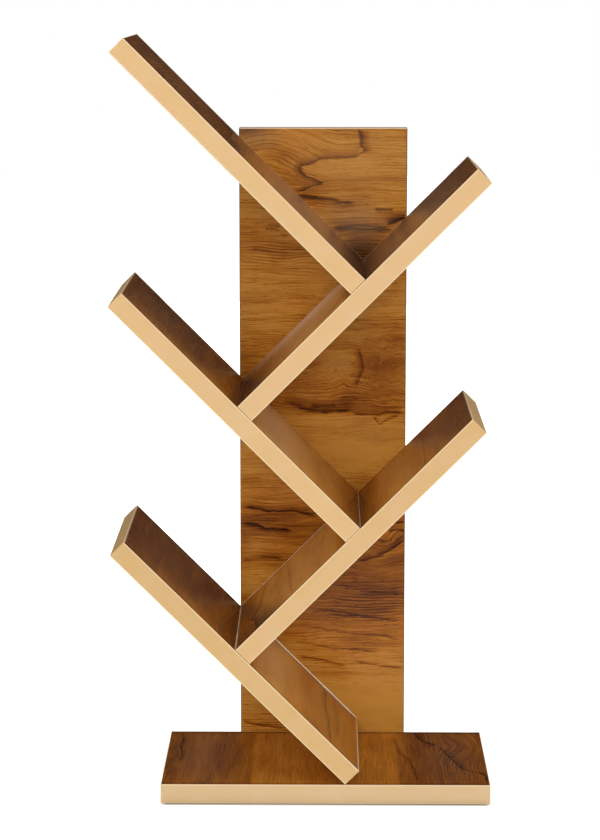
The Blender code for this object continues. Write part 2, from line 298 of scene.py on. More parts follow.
def teak_tone(tree, space, board, tones, patches, swells, veins, rings, grit):
    """The print's tone, from 0 in the darkest vein to 1 in golden wood, and its fibres and pores.

    It is a curve over the place across the grain, plus patches and noises, minus growth lines, pores
    and veins. The grain runs where that place, moved by the sways and near swells, stays the same.
    """
    parts = add(tree, "SeparateXYZ", (space,))
    along, across = parts.outputs["X"], parts.outputs["Y"]
    bent = sway(tree, across, space, *SWAY)
    bent = sway(tree, bent, space, *FINE_SWAY)
    curl = sway(tree, 0.0, space, *CURL)
    for centre, radii, lift, curls in swells:
        near = falloff(tree, space, centre, radii)
        push = add(tree, "Math", (curl, curls, -lift), operation="MULTIPLY_ADD")
        bent = add(tree, "Math", (near, push, bent), operation="MULTIPLY_ADD")
    grain = add(tree, "CombineXYZ", (along, bent, board.seed))
    share = add(tree, "Math", (across, board.length), operation="DIVIDE")
    share = add(tree, "Math", (share, 1.0), operation="PINGPONG")
    steps = [(place / board.length, tone) for place, tone in tones]
    tone = add(tree, "FloatCurve", {"Value": share}, curve=steps)
    frayed = sway(tree, along, space, *FRAY)
    frayed = add(tree, "CombineXYZ", (frayed, bent, board.seed))
    for centre, radii, amount in patches:
        near = falloff(tree, frayed, centre, radii)
        tone = add(tree, "Math", (near, amount, tone), operation="MULTIPLY_ADD")
    size, amount = BANDS
    tone = sway(tree, tone, grain, *CLOUDS)
    tone = sway(tree, tone, grain, size, amount * grit)
    fibres = streaks(tree, grain, *FIBRES)
    tone = nudge(tree, tone, fibres, FIBRE_DEPTH * grit)
    lines = growth_lines(tree, space, grain, rings)
    tone = add(tree, "Math", (lines, -LINE_DEPTH * grit, tone), operation="MULTIPLY_ADD")
    pores = {"Value": streaks(tree, grain, *PORES), "From Min": 0.58, "From Max": 0.7}
    pores = add(tree, "MapRange", pores)
    tone = add(tree, "Math", (pores, -PORE_DEPTH * grit, tone), operation="MULTIPLY_ADD")
    size, amount = VEIN_DRIFT
    vein_along = nudge(tree, along, streaks(tree, space, *size).outputs["Color"], amount)
    vein_across = sway(tree, across, space, *VEIN_SWAY)
    for runs, points, width, halo, depth in veins:
        ways = (vein_along, vein_across)
        if runs == "down":
            ways, points = ways[::-1], [point[::-1] for point in points]
        dark = vein(tree, *ways, points, width, halo)
        tone = add(tree, "Math", (dark, -depth, tone), operation="MULTIPLY_ADD")
    return tone, fibres, pores


print(f"fibres about {FIBRES[1]} mm wide, pores {PORES[1]} mm")

# %% Laminate material
TEAK_TONES = (
    (0.0, "1E0D05"),
    (0.2, "4E280B"),
    (0.4, "744011"),
    (0.6, "995B1A"),
    (0.8, "B97524"),
    (1.0, "D09440"),
)
# among their uses: the greyed and pale teaks paint the sheen of the panel's reflection on the shelves'
# tops, the greyed one is also part of a painted shade on the panel, and the painted-light teak lightens
# shaded parts of the shelves' tops
RED_TEAK, PALE_TEAK, GREYED_TEAK, PAINTED_LIGHT_TEAK = "6E3012", "BE8E5C", "94806A", "D2A878"
RED_CLOUDS, RED_SHARE = (60, 18), 0.3  # the print is a little redder here and there
# the pale colour paints highlights on the print's rims and in one tint; the dark one is a glue line, and
# beside the panel it is painted shade too
PAINTED_HIGHLIGHT_PRINT, GLUE_AND_SHADE_LINE = "F3DCC4", "1A0E06"
END_RIM_WIDTH = 1.5  # how far from a board's end the pale line reaches
FRONT_SEAM, REAR_SEAM = 6.0, 7.0  # millimetres over which a line along the tape fades
PRINT_ROUGHNESS = (0.18, 0.25)
LAMINATE_IOR = 1.25  # under a resin's 1.5, because the print hardly shines when seen square-on
PRESSED_DEPTH, PRESSED_SHARE = 0.02, 0.05  # of the grain's relief in millimetres, and what shows
CORE_ROUGHNESS = 0.85
CHIP_SIZE = 2.2  # of the wood chips in the core
CHIP_TONES = ((0.0, "8A6A45"), (0.5, "B8966A"), (1.0, "D3B88E"))


def laminate(board, tones, patches=(), swells=(), veins=(), tints=(), rings=(), grit=1.0, rims=()):
    """Teak-print laminate on a chipboard core, for one board.

    Grit is how strongly its fibres show. Rims is how much of which other colour the print takes on
    right at its ends, its front edge and its rear edge: pale as a painted highlight, and dark as a glue
    line, which along a rear edge beside the panel is painted shade as well.
    """
    material, tree = new_material(f"teak_laminate_{board.name}")
    space, height, to_end = board_space(tree, board)
    tone, fibres, pores = teak_tone(tree, space, board, tones, patches, swells, veins, rings, grit)
    reddish = {"Value": streaks(tree, space, *RED_CLOUDS), "From Min": 0.5, "From Max": 0.8}
    covers = [(add(tree, "MapRange", reddish | {"To Max": RED_SHARE}), RED_TEAK)]
    for centre, radii, amount, tint in tints:
        near = add(tree, "Math", (falloff(tree, space, centre, radii), amount), operation="MULTIPLY")
        covers.append((near, tint))
    from_front = add(tree, "SeparateXYZ", (space,)).outputs["X"]
    from_rear = add(tree, "Math", (BOARD_DEPTH, from_front), operation="SUBTRACT")
    lines = ((to_end, END_RIM_WIDTH), (from_front, FRONT_SEAM), (from_rear, REAR_SEAM))
    for (distance, width), (amount, tint) in zip(lines, rims):
        fade = {"Value": distance, "From Min": width, "From Max": 0.0, "To Max": amount}
        covers.append((add(tree, "MapRange", fade), tint))
    print_colour = add(tree, "ValToRGB", (tone,), stops=TEAK_TONES)
    for share, tint in covers:
        mix = {0: share, 6: print_colour, 7: linear(tint)}
        print_colour = add(tree, "Mix", mix, data_type="RGBA")
    place = add(tree, "TexCoord").outputs["Object"]
    chips = add(tree, "TexVoronoi", {"Vector": place, "Scale": 1 / (CHIP_SIZE * MM)})
    chip_tone = add(tree, "SeparateXYZ", (chips.outputs["Color"],))
    core = add(tree, "ValToRGB", (chip_tone.outputs["X"],), stops=CHIP_TONES)
    # Only the outermost sheet of each face is laminate
    depth = add(tree, "Math", (height, BOARD_THICKNESS / 2), operation="SUBTRACT")
    depth = add(tree, "Math", (depth,), operation="ABSOLUTE")
    inside = add(tree, "Math", (depth, BOARD_THICKNESS / 2 - SHEET_THICKNESS), operation="LESS_THAN")
    colour = add(tree, "Mix", {0: inside, 6: print_colour, 7: core}, data_type="RGBA")
    least, most = PRINT_ROUGHNESS
    rough = add(tree, "MapRange", {"Value": fibres, "To Min": least, "To Max": most})
    rough = add(tree, "Mix", {0: inside, 2: rough, 3: CORE_ROUGHNESS})
    relief = add(tree, "Math", (pores, -1.0, fibres), operation="MULTIPLY_ADD")
    pressed = {"Height": relief, "Strength": PRESSED_SHARE * grit**2}
    bump = add(tree, "Bump", pressed | {"Distance": PRESSED_DEPTH * MM})
    shader = {"Base Color": colour, "Roughness": rough, "IOR": LAMINATE_IOR, "Normal": bump}
    add(tree, "OutputMaterial", {"Surface": add(tree, "BsdfPrincipled", shader)})
    return material


print(f"{len(TEAK_TONES)} tones of teak")

# %% [markdown]
# ## The boards
#
# Every board is cut with the print's grain running across it, as sheet offcuts often are: along the
# shelves' and the base's depth, and level on the panel. A shelf's place is read from its front band,
# which has the shelf's full length and thickness.

# %% Boards
LEAN = math.sqrt(0.5)  # both parts of a unit step along a shelf that leans 45 degrees
UP, RIGHT, BACK = Vector((0, 0, 1)), Vector((1, 0, 0)), Vector((0, 1, 0))


def shelf_board(number, seed):
    """A shelf's sheet, from the lower corner of its foot. Odd shelves lean left, even ones right."""
    low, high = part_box(f"shelf_{number}_front_band")
    thick = BOARD_THICKNESS * MM * LEAN
    if number % 2:
        corner, climb = Vector((high.x - thick, low.y, low.z)), Vector((-LEAN, 0, LEAN))
    else:
        corner, climb = Vector((low.x + thick, low.y, low.z)), Vector((LEAN, 0, LEAN))
    length = ((high - low).x - thick) / LEAN / MM
    return Board(f"shelf_{number}", corner, BACK, climb, seed, length)


low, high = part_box("base_front_band")
base_board = Board("base", low, BACK, RIGHT, 3.0, (high - low).x / MM)
low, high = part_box("panel_left_band")
panel_board = Board("panel", (low.x, high.y, 0), RIGHT, UP, 8.0, (high - low).z / MM)
shelf_boards = {number: shelf_board(number, 20.0 + 5 * number) for number in range(1, 6)}
print(f"shelves of {shelf_boards[1].length:.1f}, panel of {panel_board.length:.1f} mm")

# %% [markdown]
# ## Edge bands
#
# A beige melamine tape is glued round every board. It is nearly flat in colour, with a faint mottling
# and a satin finish, and each board's piece has its own slightly different shade, darker on the lower
# shelves. The shelves' short ends get a darker tape still, as painted shade. A paler line is painted
# along both of its long arrises, a painted highlight, which outlines every board in the picture. On the
# foot bands of the upper four shelves, in the corners where they stand, the whole tape is dark as
# painted shade, and along the panel's sides the tape's arrises are dark.

# %% Edge band material
TAPE_SHADES = {
    "panel": "A8926F",
    "base": "DBB984",
    "shelf_1": "E3B87A",
    "shelf_2": "E3B87D",
    "shelf_3": "E2B779",
    "shelf_4": "DEB273",
    "shelf_5": "D9AE6B",
}
SHADED_END_TAPE = "BF985A"  # painted shade: a darker tape for the shelves' ends, for the shade they are in; it also covers the panel's sides
# the dark tape is painted shade on the foot bands of shelves 1 to 4 and darkens the panel's side arrises;
# the pale one is the arrises' painted highlight
DARK_TAPE, ARRIS_HIGHLIGHT_TAPE = "5A3C20", "F4D7AA"
ARRIS_LINE_WIDTH = 1.1
FULL_ARRIS_LINE = 0.4  # share of that width, at the arris, where nothing of the shade is left
MOTTLE_SIZE, MOTTLE_SHARE = 18.0, 0.12
PEEL_SIZE, PEEL_DEPTH, PEEL_SHARE = 0.7, 0.02, 0.15  # of the relief like an orange's peel
PEEL_MOTTLE = 0.4
TAPE_ROUGHNESS, TAPE_IOR = (0.3, 0.42), 1.4


def edge_tape(board, shade, side="", arris=ARRIS_HIGHLIGHT_TAPE):
    """Satin melamine tape: faint mottling, a fine orange-peel relief, and a line on both long arrises
    in the arris colour, by default a painted highlight.
    """
    material, tree = new_material(f"melamine_edge_tape_{board.name}{side}")
    height = board_space(tree, board)[1]
    place = add(tree, "TexCoord").outputs["Object"]
    mottle = {"Vector": place, "Scale": 1 / (MOTTLE_SIZE * MM), "Detail": 3.0}
    mottle = add(tree, "TexNoise", mottle)
    peel = {"Vector": place, "Scale": 1 / (PEEL_SIZE * MM), "Detail": 2.0}
    peel = add(tree, "TexNoise", peel)
    tone = nudge(tree, mottle, peel, PEEL_MOTTLE)
    pale = add(tree, "Math", (tone, MOTTLE_SHARE), operation="MULTIPLY")
    mix = {0: pale, 6: linear(shade), 7: linear("FFFFFF")}
    tape = add(tree, "Mix", mix, data_type="RGBA")
    # the line along both long arrises takes the arris colour, which by default is a painted highlight
    middle = add(tree, "Math", (height, BOARD_THICKNESS / 2), operation="SUBTRACT")
    middle = add(tree, "Math", (middle,), operation="ABSOLUTE")
    edge = {"Value": middle, "From Min": BOARD_THICKNESS / 2 - ARRIS_LINE_WIDTH}
    edge["From Max"] = BOARD_THICKNESS / 2 - FULL_ARRIS_LINE * ARRIS_LINE_WIDTH
    arris_line = add(tree, "MapRange", edge)
    colour = add(tree, "Mix", {0: arris_line, 6: tape, 7: linear(arris)}, data_type="RGBA")
    least, most = TAPE_ROUGHNESS
    rough = add(tree, "MapRange", {"Value": peel, "To Min": least, "To Max": most})
    relief = {"Height": peel, "Strength": PEEL_SHARE, "Distance": PEEL_DEPTH * MM}
    bump = add(tree, "Bump", relief)
    shader = {"Base Color": colour, "Roughness": rough, "IOR": TAPE_IOR, "Normal": bump}
    add(tree, "OutputMaterial", {"Surface": add(tree, "BsdfPrincipled", shader)})
    return material


boards = base_board, panel_board, *shelf_boards.values()
tapes = {board.name: edge_tape(board, TAPE_SHADES[board.name]) for board in boards}
# the shelves' ends and shelf 5's foot get the darker tape, a painted shade
end_tapes = {board.name: edge_tape(board, SHADED_END_TAPE, "_end") for board in shelf_boards.values()}
side_tape = edge_tape(panel_board, SHADED_END_TAPE, "_side", DARK_TAPE)
# painted shade: the foot bands of shelves 1 to 4, in the corners where they stand, are dark all over
joint_tape = edge_tape(base_board, DARK_TAPE, "_joint", DARK_TAPE)
print(f"{len(tapes)} boards' tapes, {len(end_tapes)} for ends, one for sides and one for joints")

# %% [markdown]
# ## Screws and dowels
#
# The screws are zinc-plated steel: bright, a little yellow, and cloudy where the plating is thinner.
# The dowels are beech, pale and pinkish, with the short dark flecks that mark that wood.

# %% Steel and beech
PLATE_CLOUD, BEECH_FLECK = 1.5, 0.8  # millimetres across
PLATE_ROUGHNESS = (0.2, 0.42)


def zinc_plate():
    """Passivated zinc on steel: the metal's tint and roughness vary softly."""
    material, tree = new_material("zinc_plated_steel")
    place = add(tree, "TexCoord").outputs["Object"]
    cloud = {"Vector": place, "Scale": 1 / (PLATE_CLOUD * MM), "Detail": 3.0}
    cloud = add(tree, "TexNoise", cloud)
    tint = add(tree, "ValToRGB", (cloud,), stops=((0.3, "B9B4A6"), (0.7, "DAD6C8")))
    least, most = PLATE_ROUGHNESS
    rough = add(tree, "MapRange", {"Value": cloud, "To Min": least, "To Max": most})
    shader = {"Base Color": tint, "Roughness": rough, "Metallic": 1.0}
    add(tree, "OutputMaterial", {"Surface": add(tree, "BsdfPrincipled", shader)})
    return material


def beech():
    """Plain turned beech with its flecks: a fine noise through a ramp from the fleck to the wood."""
    material, tree = new_material("turned_beech")
    place = add(tree, "TexCoord").outputs["Object"]
    flecks = {"Vector": place, "Scale": 1 / (BEECH_FLECK * MM), "Detail": 3.0}
    flecks = add(tree, "TexNoise", flecks)
    tones = (0.35, "B98A5C"), (0.5, "D9B083"), (0.7, "E2BE94")
    colour = add(tree, "ValToRGB", (flecks,), stops=tones)
    shader = {"Base Color": colour, "Roughness": 0.6, "IOR": 1.5}
    add(tree, "OutputMaterial", {"Surface": add(tree, "BsdfPrincipled", shader)})
    return material


steel_material, beech_material = zinc_plate(), beech()
print("materials:", steel_material.name, beech_material.name)

# %% [markdown]
# ## Turned pieces as grids
#
# A screw and a dowel are both surfaces of a turn and a height, so each is worked out as one array of
# rings. The screw's radius carries its thread, which is the same ridge shifted a little more for each
# degree of turn, and its head's height carries the cross recess. The dowel's radius carries the flutes
# that let glue rise.

# %% A skin over rings of points


def skin(name, rings, sharp=35):
    """A closed mesh over an array of (ring, point, xyz): quads between rings, and a fan at each end.

    Edges that turn by more than the sharp angle, in degrees, stay crisp.
    """
    count, around = rings.shape[:2]
    ends = rings[[0, -1]].mean(axis=1)
    points = np.vstack([rings.reshape(-1, 3), ends])
    ring, column = np.meshgrid(np.arange(count - 1), np.arange(around), indexing="ij")
    here, after = ring * around + column, ring * around + (column + 1) % around
    quads = np.stack([here, here + around, after + around, after], axis=-1).reshape(-1, 4)
    column = np.arange(around)
    after = (column + 1) % around
    last = (count - 1) * around
    top = np.stack([np.full(around, len(points) - 2), column, after], axis=-1)
    bottom = np.stack([np.full(around, len(points) - 1), last + after, last + column], axis=-1)
    mesh = bpy.data.meshes.new(name)
    mesh.from_pydata(points.tolist(), [], quads.tolist() + top.tolist() + bottom.tolist())
    mesh.shade_smooth()
    mesh.set_sharp_from_angle(angle=math.radians(sharp))
    piece = bpy.data.objects.new(name, mesh)
    bpy.context.scene.collection.objects.link(piece)
    return piece


def turned(radius, height, turn):
    """Rings of points from arrays of radius and height, in millimetres, at each turn."""
    return np.stack([radius * np.cos(turn), radius * np.sin(turn), height + 0 * turn], axis=-1)


print("rings of points can be skinned")

# %% The wood screw
SCREW_COLUMNS, HEAD_RINGS = 64, 26
THREAD_PITCH = 1.8
THREAD_ROWS = 9  # rings to each turn of the thread
HEAD_CENTRE = 0.12  # radius of the innermost ring
HEAD_BREAK, HEAD_CREASE = 0.15, 0.04  # of the worn arris round the head
THREAD_LEAD = 0.4  # plain shank left before the first ring with a thread
BLUNT_POINT, POINT_SHARE = 0.3, 0.08  # what the point lacks in length, and how thin it gets


def recess(x, y, span=4.2, slot=1.0, deep=1.9, wall=0.18, slope=0.7, rise=0.5):
    """How deep the cross recess is at a point of the head: two crossed slots that deepen inwards.

    A slot's inside distance is the smaller of those to its side and to its end, where the slope is
    gentler. The depth eases in over the wall's thickness, and the floor rises towards the ends.
    """
    slots = [np.minimum(slot / 2 - abs(b), (span / 2 - abs(a)) * slope) for a, b in ((x, y), (y, x))]
    eased = np.clip(np.maximum(*slots) / wall, 0, 1)
    return deep * eased**2 * (3 - 2 * eased) * (1 - rise * np.hypot(x, y) / (span / 2)).clip(0, 1)


def screw_rings(length, head=4.0, shank=2.0, core=1.35, rim=0.4, smooth=13.0, tip=6.0):
    """A countersunk screw from the middle of its head's top down to its tip.

    Thread: how far each point is from the nearest crest, in turns, is the fractional part of height
    over pitch plus turn over a full turn. The ridge falls off linearly with that, and shrinks away
    towards the point, where the core tapers too.
    """
    turn = np.linspace(0, 2 * np.pi, SCREW_COLUMNS, endpoint=False)[None, :]
    top = np.linspace(HEAD_CENTRE, head - HEAD_BREAK, HEAD_RINGS)[:, None]
    flat = turned(top, -recess(top * np.cos(turn), top * np.sin(turn)), turn)
    edge = [(head - HEAD_CREASE, -HEAD_CREASE), (head, -HEAD_BREAK), (head, -rim)]
    edge += [(shank, -rim - head + shank), (shank, -smooth + THREAD_LEAD)]
    edge = np.array(edge)
    body = turned(edge[:, :1], edge[:, 1:], turn)
    height = -np.arange(smooth, length - BLUNT_POINT, THREAD_PITCH / THREAD_ROWS)[:, None]
    taper = np.clip((length + height) / tip, POINT_SHARE, 1)
    phase = (height / THREAD_PITCH + turn / (2 * np.pi)) % 1
    ridge = np.clip(1 - 4 * abs(phase - 0.5), 0, 1)
    thread = turned(taper * (core + (shank - core) * ridge), height, turn)
    return np.concatenate([flat, body, thread])


def drive_screw(node):
    """Builds the screw that stands for a CAD screw, its head flush with that one's, pointing forward."""
    low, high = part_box(node)
    rings = screw_rings((high - low).y / MM)
    x, y, z = np.moveaxis(rings * MM, -1, 0)
    middle = (low + high) / 2
    placed = np.stack([middle.x + x, high.y + z, middle.z - y], axis=-1)
    screw = skin(f"threaded_{node}", placed)
    screw.data.materials.append(steel_material)
    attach(screw, "root")
    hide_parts(node)
    return screw


screws = [drive_screw(name) for name in sorted(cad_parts) if "_screw_" in name]
print(f"{len(screws)} screws of {len(screws[0].data.polygons)} faces")

# %% The fluted dowel
DOWEL_LENGTH = 30.0
FLUTES, FLUTE_COLUMNS = 20, 6


def dowel_rings(radius=4.0, flute=0.3, chamfer=0.8):
    """A dowel about its own middle: the radius dips by the flute's depth, as a sharpened cosine."""
    turn = np.linspace(0, 2 * np.pi, FLUTES * FLUTE_COLUMNS, endpoint=False)[None, :]
    half = DOWEL_LENGTH / 2
    upper = np.array([half, half - chamfer, half - 3 * chamfer])
    height = np.concatenate([upper, -upper[::-1]])
    plain = np.array([radius - chamfer, radius, radius, radius, radius, radius - chamfer])
    dip = flute * ((1 + np.cos(FLUTES * turn)) / 2) ** 3
    return turned(plain[:, None] - dip, height[:, None], turn)


def drive_dowel(number, where):
    """Builds the dowel that stands for a CAD dowel, lying along its shelf."""
    node = f"shelf_{number}_{where}_dowel"
    low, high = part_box(node)
    middle = np.array((low + high) / 2)
    across, along = np.array([0, 1, 0]), np.array([LEAN, 0, LEAN])
    if number % 2:
        along = np.array([-LEAN, 0, LEAN])
    axes = np.stack([across, np.cross(along, across), along])
    dowel = skin(f"fluted_{node}", middle + dowel_rings() * MM @ axes)
    dowel.data.materials.append(beech_material)
    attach(dowel, "root")
    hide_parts(node)


holes = [(number, where) for number in range(1, 5) for where in ("front", "rear")]
for number, where in holes:
    drive_dowel(number, where)
print(f"{len(holes)} dowels with {FLUTES} flutes each")

# %% [markdown]
# ## Glue beads
#
# Round the two lowest shelves a little glue has squeezed out of the joints and dried to a pale bead.
# In the picture these beads are the thin light lines along the panel and in the corners. Each is a
# hollow fillet: a short arc between the two boards' faces, carried along the joint.

# %% Glue
BEAD_ARC = 5  # points over the bead's hollow face
BEAD_STATIONS = 25
GLUE_CLOUD = 6.0  # millimetres across
REAR_LEGS = {4: 0.2, 5: 0.75}  # of the bead behind a shelf
CORNER_LEGS = {4: 0.2, 5: 0.5}  # of the bead at the foot that stands on a shelf


def dried_glue():
    """White wood glue, dried: ivory, slightly cloudy and smooth, so it catches light along its edge."""
    material, tree = new_material("dried_wood_glue")
    place = add(tree, "TexCoord").outputs["Object"]
    cloud = add(tree, "TexNoise", {"Vector": place, "Scale": 1 / (GLUE_CLOUD * MM), "Detail": 2.0})
    colour = add(tree, "ValToRGB", (cloud,), stops=((0.35, "F0D4B6"), (0.65, "FFF0DC")))
    shader = {"Base Color": colour, "Roughness": 0.35, "IOR": 1.47}
    add(tree, "OutputMaterial", {"Surface": add(tree, "BsdfPrincipled", shader)})
    return material


def glue_bead(name, start, end, out_a, out_b, leg):
    """A fillet along the line from start to end, between faces that leave it towards out_a and out_b.

    The section is the corner itself and an arc about the point one leg out along both faces, so the
    bead's face is hollow. The leg swells and shrinks by a fifth, as two sines of unlike wave, and
    thins out over about a tenth of the run at either end.
    """
    start, end, out_a, out_b = (np.array(vector) for vector in (start, end, out_a, out_b))
    run = np.linspace(0, 1, BEAD_STATIONS)[:, None, None]
    swell = 1 + 0.12 * np.sin(9 * run) + 0.08 * np.sin(23 * run + 1)
    swell = swell * np.clip(8 * np.minimum(run, 1 - run) + 0.3, 0, 1)
    angle = np.linspace(0, np.pi / 2, BEAD_ARC)[:, None]
    arc = (1 - np.sin(angle)) * out_a + (1 - np.cos(angle)) * out_b
    section = np.vstack([np.zeros((1, 3)), arc])
    rings = start + run * (end - start) + section * swell * leg * MM
    if np.cross(out_a, out_b) @ (end - start) > 0:
        rings = rings[::-1]
    bead = skin(name, rings, sharp=50)
    bead.data.materials.append(glue_material)
    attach(bead, "root")


def upper_side(number):
    """The way a shelf climbs, the way its upper face looks, and the upper corner of its foot."""
    climb = np.array((-LEAN, 0, LEAN) if number % 2 else (LEAN, 0, LEAN))
    face = climb * (-1, 1, 1)
    return climb, face, np.array(shelf_boards[number].corner) + face * BOARD_THICKNESS * MM


glue_material = dried_glue()
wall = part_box("back_panel")[0].y
for number, leg in REAR_LEGS.items():
    climb, face, foot = upper_side(number)
    upper_climb, _, upper_foot = upper_side(number - 1)
    corner = foot + climb * ((upper_foot - foot) @ climb)
    rear = (corner[0], wall, corner[2])
    glue_bead(f"glue_foot_{number - 1}", corner, rear, climb, upper_climb, CORNER_LEGS[number])
    reach = (corner - foot) @ climb - BOARD_THICKNESS * MM
    foot[1] = wall
    glue_bead(f"glue_rear_{number}", foot, foot + climb * reach, face, (0, -1, 0), leg)
print(f"{len(REAR_LEGS) + len(CORNER_LEGS)} glue beads")

# %% [markdown]
# ## The print and painted light, board by board
#
# Tones are (millimetres across the grain, tone). Patches are (centre, radii, amount), and tints have a
# colour too. Swells are (centre, radii, lift, curl), and veins are (which way it runs, points, width,
# halo, depth), all in the board's own millimetres.

# %% The panel's print and painted light, from its left edge and up from the table
PANEL_TONES = (
    (0, 0.94),
    (45, 1.00),
    (75, 0.94),
    (100, 0.84),
    (120, 0.72),
    (135, 0.60),
    (155, 0.66),
    (180, 0.68),
    (215, 0.92),
    # lifted to 1 from 250 to 273 mm: painted light that makes up for the shade between the shelves there
    (250, 1.00),
    (273, 1.00),
    (280, 0.80),
    (330, 0.86),
    (380, 0.94),
    (430, 0.92),
    (480, 0.92),
    (504, 0.84),
)
PANEL_PATCHES = (
    ((104, 44), (60, 28), 0.24),
    ((100, 245), (70, 26), 0.1),
    ((122, 22), (30, 20), 0.18),
    ((104, 3), (40, 8), -0.1),
    ((22, 172), (30, 9), 0.12),
    ((100, 218), (30, 14), -0.14),
    ((78, 314), (22, 17), 0.16),
    ((112, 315), (30, 40), -0.12),
    ((45, 288), (26, 12), -0.1),
    # painted shade in the corner between shelves 1 and 2
    ((97, 402), (32, 32), -0.66),
    ((22, 190), (44, 16), -0.18),
    ((10, 139), (34, 27), 0.46),
    ((78, 428), (26, 14), -0.14),
    ((114, 421), (18, 14), -0.14),
    ((110, 125), (50, 40), -0.1),
    ((72, 318), (26, 18), 0.1),
    ((124, 433), (16, 9), -0.3),
    ((12, 498), (30, 20), -0.5),
    ((34, 462), (20, 26), -0.12),
    ((20, 415), (40, 22), -0.12),
    ((8, 166), (30, 15), 0.16),
    ((126, 337), (18, 20), -0.18),
    ((121, 438), (22, 10), -0.14),
    ((56, 455), (24, 18), -0.28),
    ((90, 288), (22, 15), -0.18),
    ((126, 162), (18, 13), -0.16),
    ((36, 281), (18, 9), 0.14),
    ((18, 210), (24, 13), -0.14),
    ((4, 318), (18, 18), -0.14),
    ((90, 112), (56, 15), -0.22),
    ((104, 90), (40, 12), -0.18),
    ((108, 31), (46, 16), 0.16),
    ((114, 426), (20, 10), -0.14),
    ((42, 292), (22, 12), 0.12),
    ((6, 426), (20, 14), -0.14),
    ((112, 496), (24, 14), 0.14),
    ((66, 378), (22, 12), 0.13),
    ((78, 66), (24, 12), -0.12),
    ((6, 222), (20, 12), -0.12),
    ((18, 270), (22, 12), 0.12),
)
PANEL_SWELLS = (
    ((25, 495), (60, 40), 16, 0),
    ((78, 314), (34, 26), 6, 8),
    ((112, 315), (32, 42), 0, 16),
    ((112, 42), (50, 30), 6, 0),
    ((112, 165), (34, 26), -10, 4),
)
PANEL_TINTS = (
    ((112, 315), (34, 46), 0.4, RED_TEAK),
    ((45, 285), (40, 16), 0.2, RED_TEAK),
    # greyed, with the dark patch at (97, 402), as painted shade in the corner between shelves 1 and 2
    ((90, 428), (50, 30), 0.34, GREYED_TEAK),
    ((10, 498), (34, 20), 0.3, GREYED_TEAK),
    ((85, 480), (90, 50), 0.25, PALE_TEAK),
)
PANEL_VEINS = (
    ("down", ((94, 503), (96, 495), (96, 490), (99, 487), (97, 485), (93, 483)), 2.2, 5, 0.75),
    ("along", ((43, 475), (50, 475), (60, 478), (65, 480), (86, 481), (97, 485)), 1.8, 6, 0.70),
    ("down", ((50, 475), (48, 472), (50, 468), (59, 463), (64, 460), (56, 458), (46, 453)), 2.4, -5, 0.68),
    ("along", ((44, 453), (52, 450), (62, 449), (72, 448), (81, 446), (92, 445)), 1.7, -5, 0.60),
    ("along", ((106, 441), (114, 440), (122, 440)), 1.4, -3, 0.51),
    ("along", ((74, 425), (95, 427), (109, 426), (118, 424)), 1.2, 3, 0.46),
    ("along", ((72, 424), (85, 425), (106, 424), (122, 424)), 1.4, -2, 0.57),
    ("along", ((116, 428), (124, 431), (132, 434)), 2.0, 3, 0.57),
    ("along", ((22, 427), (27, 427), (33, 426)), 1.0, 2, 0.38),
    ("along", ((20, 424), (26, 424), (32, 423)), 1.0, 2, 0.38),
    ("along", ((34, 286), (44, 284), (50, 281), (60, 279), (80, 279), (92, 280)), 2.3, 8, 0.52),
    ("along", ((56, 282), (66, 283), (77, 282)), 1.4, 4, 0.36),
    ("along", ((88, 279), (100, 276), (108, 276), (120, 278), (132, 277)), 1.5, 5, 0.42),
    ("down", ((107, 274), (109, 271), (111, 268)), 1.2, 3, 0.41),
    ("along", ((111, 268), (115, 270), (120, 273), (126, 275)), 1.0, 2, 0.38),
    ("down", ((94, 330), (97, 321), (98, 314), (96, 308), (92, 298)), 1.8, -4, 0.43),
    ("along", ((0, 201), (10, 200), (20, 198), (30, 197), (41, 198), (50, 196), (62, 192)), 1.4, 3, 0.57),
    ("along", ((0, 188), (11, 187), (19, 184), (27, 183), (39, 182), (42, 180)), 1.4, -3, 0.59),
    ("along", ((118, 190), (124, 188), (132, 189)), 1.2, 3, 0.51),
    ("along", ((118, 180), (125, 182), (132, 179)), 1.2, 3, 0.51),
    ("along", ((2, 157), (12, 158), (23, 159), (34, 157)), 1.6, 3, 0.3),
    ("along", ((94, 157), (108, 160), (120, 166), (132, 175)), 1.5, 4, 0.49),
    ("along", ((75, 137), (88, 135), (100, 132), (112, 131), (132, 130)), 1.2, 3, 0.2),
    (
        "along",
        ((60, 117), (75, 115), (88, 113), (100, 111), (108, 110), (119, 108), (132, 108)),
        1.0,
        2,
        0.34,
    ),
    ("along", ((46, 104), (53, 102), (63, 101), (75, 99), (88, 97), (112, 95), (132, 90)), 0.8, 2, 0.34),
    ("along", ((42, 90), (63, 87), (75, 85), (88, 84), (112, 81)), 1.0, 3, 0.41),
    ("along", ((45, 78), (54, 77), (63, 76), (70, 74), (78, 72), (86, 70)), 1.1, -2, 0.42),
    ("along", ((92, 75), (99, 72), (108, 71), (132, 68)), 1.0, 2, 0.41),
    ("along", ((0, 24), (12, 21), (25, 19), (38, 17)), 1.2, 3, 0.51),
)
PANEL_RINGS = (
    ((30, 404), (62, 20)),
    ((104, 122), (60, 26)),
    ((34, 158), (24, 10)),
    ((25, 20), (44, 14)),
    ((120, 172), (32, 20)),
)
print(f"panel: {len(PANEL_PATCHES)} patches and {len(PANEL_VEINS)} veins")

